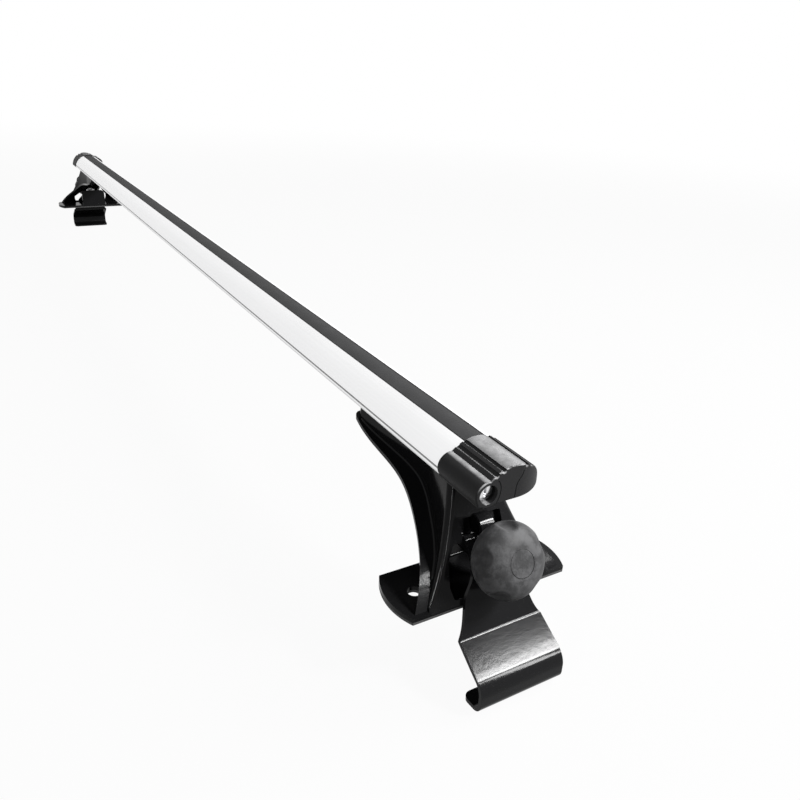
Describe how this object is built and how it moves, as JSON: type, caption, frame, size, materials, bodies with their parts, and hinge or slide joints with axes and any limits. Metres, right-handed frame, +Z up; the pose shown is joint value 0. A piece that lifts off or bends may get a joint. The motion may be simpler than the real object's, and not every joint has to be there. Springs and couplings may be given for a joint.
{
  "type": "roof rack crossbar",
  "caption": "Aluminium roof crossbar with rubber strip, lockable end caps and pressed steel feet that clamp to the door frames with hooks and hand knobs.",
  "frame": {"origin": "midway between the two feet, on the plane where their rubber pads meet the roof", "axes": "+X along the bar, towards one end; +Y across the bar; +Z up, from the roof to the bar"},
  "size_m": [1.3296, 0.1144, 0.1357],
  "materials": {
    "anodised_aluminium": "satin anodised",
    "strip_rubber": "matte",
    "cap_plastic": "satin, worn on top",
    "lock_chrome": "polished",
    "zinc_steel": "zinc plated",
    "black_paint": "gloss black",
    "pad_rubber": "matte",
    "knob_plastic": "fine grain",
    "knob_disc_plastic": "fine grain"
  },
  "bodies": {
    "bar": {"bar_extrusion": "anodised_aluminium", "top_strip": "strip_rubber"},
    "cap_right": {"end_cap_right": "cap_plastic"},
    "lock_right": {"lock_barrel_right": "lock_chrome", "lock_cam_right": "zinc_steel"},
    "foot_right": {"foot_bracket_right": "black_paint", "base_pad_right": "pad_rubber", "slot_bolts_right": "zinc_steel", "slot_washers_right": "zinc_steel", "slot_nuts_right": "zinc_steel", "clamp_bolt_right": "zinc_steel"},
    "hook_right": {"clamp_hook_right": "black_paint"},
    "washer_right": {"clamp_washer_right": "zinc_steel"},
    "knob_right": {"knob_right": "knob_plastic", "knob_nut_right": "zinc_steel", "knob_cap_right": "knob_disc_plastic"},
    "cap_left": {"end_cap_left": "cap_plastic"},
    "lock_left": {"lock_barrel_left": "lock_chrome", "lock_cam_left": "zinc_steel"},
    "foot_left": {"foot_bracket_left": "black_paint", "base_pad_left": "pad_rubber", "slot_bolts_left": "zinc_steel", "slot_washers_left": "zinc_steel", "slot_nuts_left": "zinc_steel", "clamp_bolt_left": "zinc_steel"},
    "hook_left": {"clamp_hook_left": "black_paint"},
    "washer_left": {"clamp_washer_left": "zinc_steel"},
    "knob_left": {"knob_left": "knob_plastic", "knob_nut_left": "zinc_steel", "knob_cap_left": "knob_disc_plastic"}
  },
  "joints": [
    {"name": "foot_slide_right", "type": "slide", "parent": "bar", "child": "foot_right", "axis": [-1, 0, 0], "range_m": [0, 0.18]},
    {"name": "cap_slide_right", "type": "slide", "parent": "bar", "child": "cap_right", "axis": [1, 0, 0], "range_m": [0, 0.04]},
    {"name": "lock_turn_right", "type": "hinge", "parent": "cap_right", "child": "lock_right", "pos_m": [0.6, -0.0164, 0.076], "axis": [-1, 0, 0], "range_deg": [0, 90]},
    {"name": "clamp_travel_right", "type": "slide", "parent": "foot_right", "child": "washer_right", "axis": [0.907, 0, 0.421], "range_m": [0, 0.0075]},
    {"name": "knob_turn_right", "type": "hinge", "parent": "washer_right", "child": "knob_right", "pos_m": [0.62093, 0, 0.0233], "axis": [0.907, 0, 0.421], "range_deg": [0, 2160]},
    {"name": "hook_swing_right", "type": "hinge", "parent": "foot_right", "child": "hook_right", "pos_m": [0.61492, 0, 0.03329], "axis": [0, -1, 0], "range_deg": [0, 12]},
    {"name": "foot_slide_left", "type": "slide", "parent": "bar", "child": "foot_left", "axis": [1, 0, 0], "range_m": [0, 0.18]},
    {"name": "cap_slide_left", "type": "slide", "parent": "bar", "child": "cap_left", "axis": [-1, 0, 0], "range_m": [0, 0.04]},
    {"name": "lock_turn_left", "type": "hinge", "parent": "cap_left", "child": "lock_left", "pos_m": [-0.6, 0.0164, 0.076], "axis": [1, 0, 0], "range_deg": [0, 90]},
    {"name": "clamp_travel_left", "type": "slide", "parent": "foot_left", "child": "washer_left", "axis": [-0.907, 0, 0.421], "range_m": [0, 0.0075]},
    {"name": "knob_turn_left", "type": "hinge", "parent": "washer_left", "child": "knob_left", "pos_m": [-0.62093, 0, 0.0233], "axis": [-0.907, 0, 0.421], "range_deg": [0, 2160]},
    {"name": "hook_swing_left", "type": "hinge", "parent": "foot_left", "child": "hook_left", "pos_m": [-0.61492, 0, 0.03329], "axis": [0, 1, 0], "range_deg": [0, 12]}
  ],
  "couplings": [
    {"joint": "clamp_travel_right", "follows": "knob_turn_right", "m_per_rad": 0.00019892},
    {"joint": "hook_swing_right", "follows": "knob_turn_right", "ratio": 0.005555},
    {"joint": "clamp_travel_left", "follows": "knob_turn_left", "m_per_rad": 0.00019892},
    {"joint": "hook_swing_left", "follows": "knob_turn_left", "ratio": 0.005555}
  ]
}
